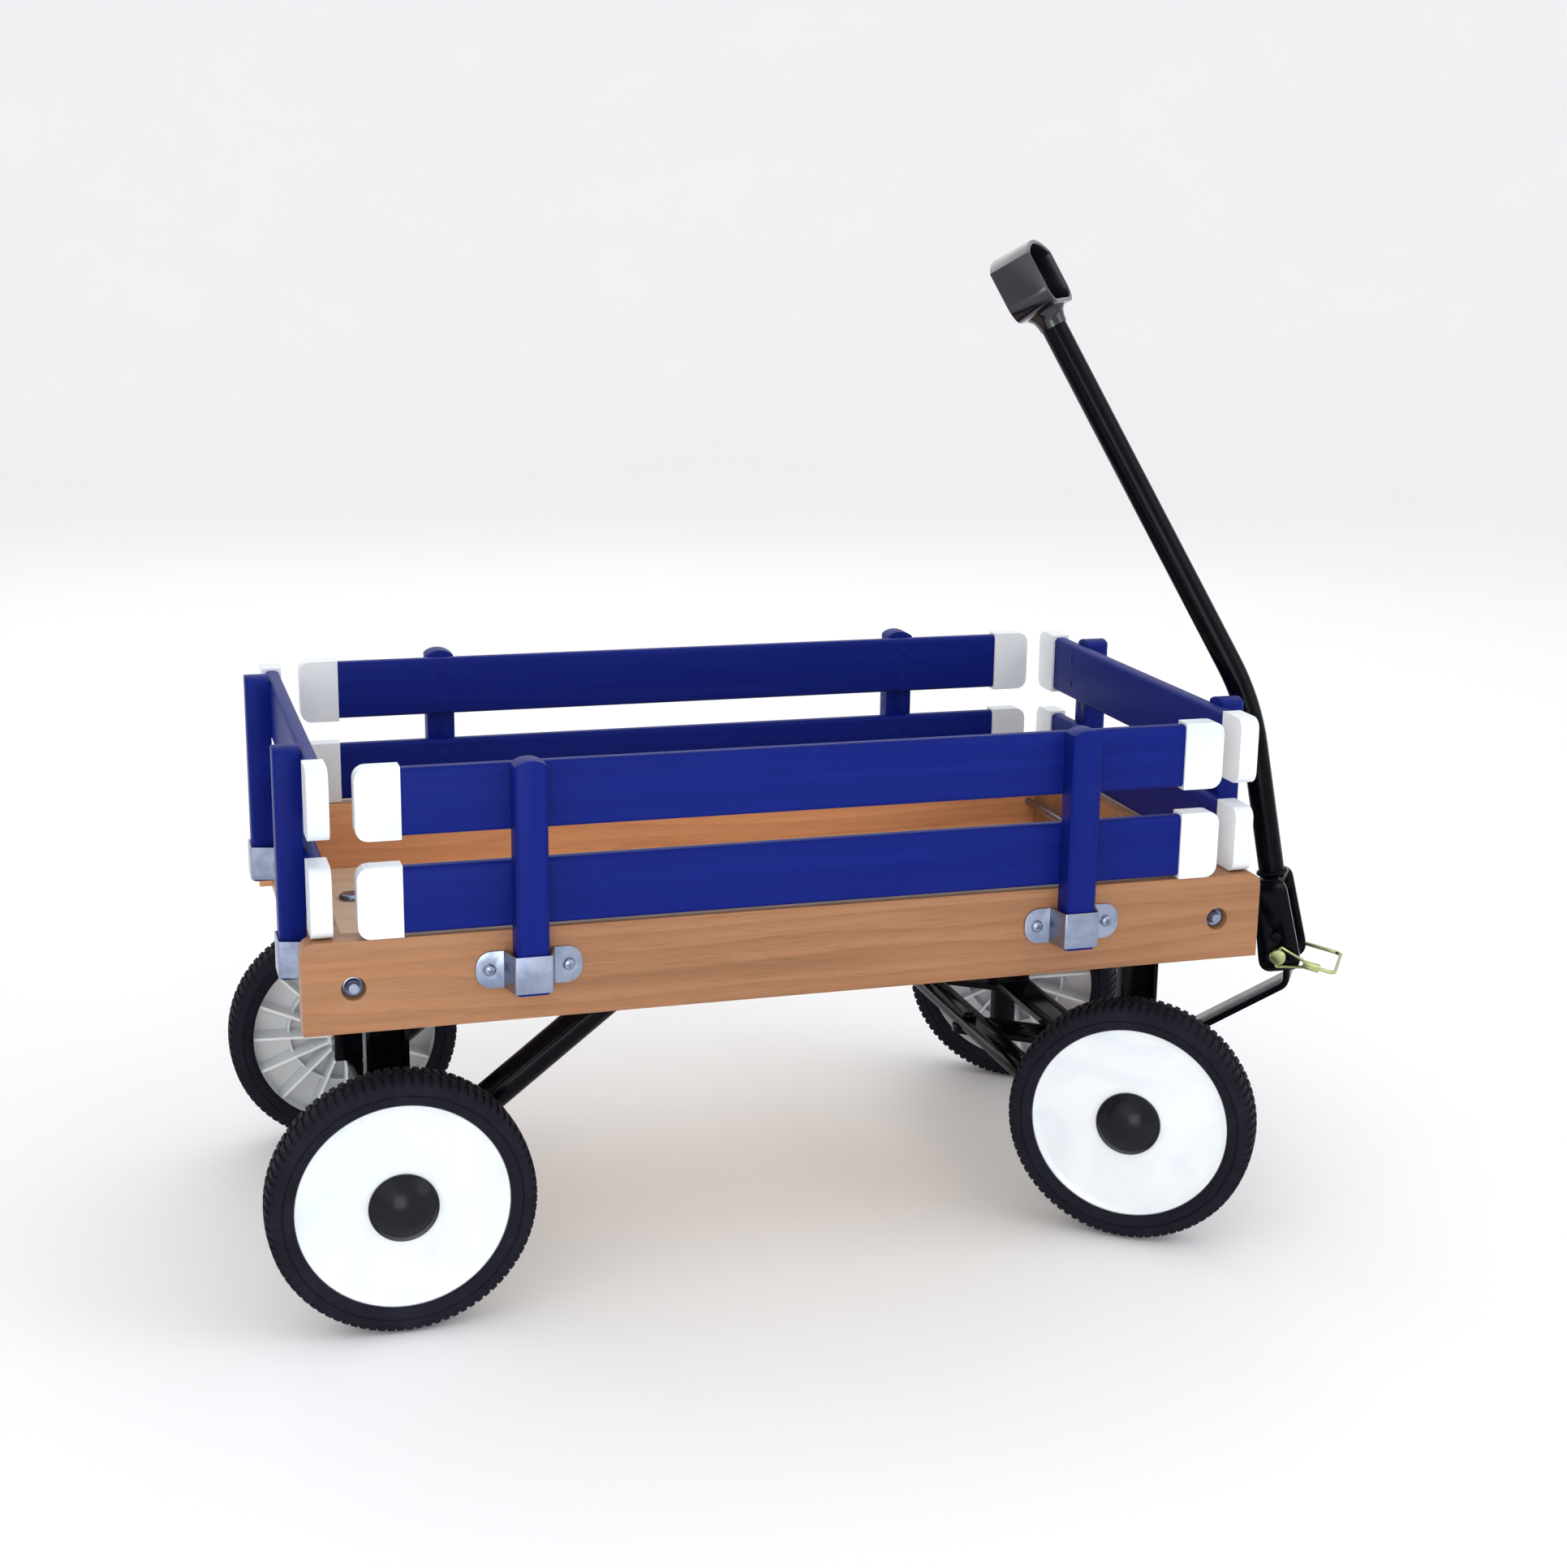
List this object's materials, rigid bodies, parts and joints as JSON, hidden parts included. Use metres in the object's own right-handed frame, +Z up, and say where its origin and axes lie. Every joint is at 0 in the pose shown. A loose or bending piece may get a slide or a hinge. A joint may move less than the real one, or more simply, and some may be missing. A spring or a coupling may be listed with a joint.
{
  "type": "wagon with pull handle",
  "caption": "Child's wooden wagon with lift-out slatted racks, knuckle-steered front wheels and a folding pull handle held by a wire lock pin.",
  "frame": {"origin": "on the ground, under the middle of the bed", "axes": "+X towards the front of the wagon, +Y to its left, +Z up"},
  "size_m": [0.8549, 0.468, 0.7372],
  "materials": {
    "board_wood": "clear varnish",
    "blue_wood": "satin blue paint",
    "white_cap": "moulded, smooth",
    "white_hub": "moulded, smooth",
    "black_plastic": "glossy",
    "tyre": "matt rubber, lugged tread",
    "black_paint": "gloss powder coat",
    "zinc_steel": "bright zinc plate",
    "yellow_zinc": "yellow zinc plate"
  },
  "bodies": {
    "wagon": {"right_side_board": "board_wood", "left_side_board": "board_wood", "front_end_board": "board_wood", "rear_end_board": "board_wood", "floor_panel": "board_wood", "cross_rods": "zinc_steel", "cross_rod_nuts": "zinc_steel", "side_stake_pockets": "zinc_steel", "end_stake_pockets": "zinc_steel", "pocket_screws": "zinc_steel", "rear_axle": "black_paint", "rear_axle_frame": "black_paint", "rear_braces": "black_paint", "front_axle_frame": "black_paint", "floor_bolts": "zinc_steel", "floor_nuts": "zinc_steel", "pivot_bolts": "black_paint", "lock_nuts": "zinc_steel"},
    "right_rack": {"right_rack_slats": "blue_wood", "right_rack_stakes": "blue_wood", "right_rack_caps": "white_cap", "right_rack_screws": "zinc_steel"},
    "left_rack": {"left_rack_slats": "blue_wood", "left_rack_stakes": "blue_wood", "left_rack_caps": "white_cap", "left_rack_screws": "zinc_steel"},
    "front_rack": {"front_rack_slats": "blue_wood", "front_rack_stakes": "blue_wood", "front_rack_caps": "white_cap", "front_rack_screws": "zinc_steel"},
    "rear_rack": {"rear_rack_slats": "blue_wood", "rear_rack_stakes": "blue_wood", "rear_rack_caps": "white_cap", "rear_rack_screws": "zinc_steel"},
    "right_knuckle": {"right_knuckle": "black_paint", "right_spindle_nut": "zinc_steel"},
    "left_knuckle": {"left_knuckle": "black_paint", "left_spindle_nut": "zinc_steel"},
    "front_right_wheel": {"front_right_tyre": "tyre", "front_right_hub": "white_hub", "front_right_hub_cap": "black_plastic"},
    "front_left_wheel": {"front_left_tyre": "tyre", "front_left_hub": "white_hub", "front_left_hub_cap": "black_plastic"},
    "rear_right_wheel": {"rear_right_tyre": "tyre", "rear_right_hub": "white_hub", "rear_right_hub_cap": "black_plastic"},
    "rear_left_wheel": {"rear_left_tyre": "tyre", "rear_left_hub": "white_hub", "rear_left_hub_cap": "black_plastic"},
    "tongue": {"tongue": "black_paint"},
    "tie_rod": {"tie_rod": "black_paint", "tie_rod_rivets": "black_paint"},
    "handle": {"handle_yoke": "black_paint", "stop_rivet": "black_paint", "handle_tube": "black_paint", "handle_grip": "black_plastic"},
    "lock_pin": {"lock_pin": "yellow_zinc"},
    "bail": {"lock_pin_bail": "yellow_zinc"}
  },
  "joints": [
    {"name": "steer", "type": "hinge", "parent": "wagon", "child": "tongue", "pos_m": [0.2865, 0, 0.0945], "axis": [0, 0, 1], "range_deg": [-2.5, 73.5]},
    {"name": "right_kingpin", "type": "hinge", "parent": "wagon", "child": "right_knuckle", "pos_m": [0.2865, -0.1395, 0.0806], "axis": [0, 0, 1], "range_deg": [-2.5, 73.5]},
    {"name": "left_kingpin", "type": "hinge", "parent": "wagon", "child": "left_knuckle", "pos_m": [0.2865, 0.1395, 0.0806], "axis": [0, 0, 1], "range_deg": [-2.5, 73.5]},
    {"name": "tie_rod_pivot", "type": "hinge", "parent": "tongue", "child": "tie_rod", "pos_m": [0.21811, 0.04878, 0.0998], "axis": [0, 0, 1], "range_deg": [-73.5, 2.5]},
    {"name": "front_right_wheel_spin", "type": "hinge", "parent": "right_knuckle", "child": "front_right_wheel", "pos_m": [0.2653, -0.16922, 0.093], "axis": [0.5807, 0.8141, 0], "continuous": true},
    {"name": "front_left_wheel_spin", "type": "hinge", "parent": "left_knuckle", "child": "front_left_wheel", "pos_m": [0.3077, 0.16922, 0.093], "axis": [0.5807, 0.8141, 0], "continuous": true},
    {"name": "rear_right_wheel_spin", "type": "hinge", "parent": "wagon", "child": "rear_right_wheel", "pos_m": [-0.287, -0.176, 0.093], "axis": [0, 1, 0], "continuous": true},
    {"name": "rear_left_wheel_spin", "type": "hinge", "parent": "wagon", "child": "rear_left_wheel", "pos_m": [-0.287, 0.176, 0.093], "axis": [0, 1, 0], "continuous": true},
    {"name": "handle_pitch", "type": "hinge", "parent": "tongue", "child": "handle", "pos_m": [0.42409, -0.09814, 0.193], "axis": [0.5807, 0.8141, 0], "range_deg": [0, 125]},
    {"name": "bail_swing", "type": "hinge", "parent": "tongue", "child": "lock_pin", "pos_m": [0.42409, -0.09814, 0.193], "axis": [0.5807, 0.8141, 0], "range_deg": [0, 80]},
    {"name": "bail_open", "type": "hinge", "parent": "lock_pin", "child": "bail", "pos_m": [0.40905, -0.11922, 0.193], "axis": [-0.1553, 0.1108, -0.9816], "range_deg": [0, 95]},
    {"name": "right_rack_lift", "type": "slide", "parent": "wagon", "child": "right_rack", "axis": [0, 0, 1], "range_m": [0, 0.035]},
    {"name": "left_rack_lift", "type": "slide", "parent": "wagon", "child": "left_rack", "axis": [0, 0, 1], "range_m": [0, 0.035]},
    {"name": "front_rack_lift", "type": "slide", "parent": "wagon", "child": "front_rack", "axis": [0, 0, 1], "range_m": [0, 0.035]},
    {"name": "rear_rack_lift", "type": "slide", "parent": "wagon", "child": "rear_rack", "axis": [0, 0, 1], "range_m": [0, 0.035]}
  ],
  "couplings": [
    {"joint": "right_kingpin", "follows": "steer", "ratio": 1},
    {"joint": "left_kingpin", "follows": "steer", "ratio": 1},
    {"joint": "tie_rod_pivot", "follows": "steer", "ratio": -1},
    {"joint": "bail_swing", "follows": "handle_pitch", "ratio": 0.64}
  ]
}
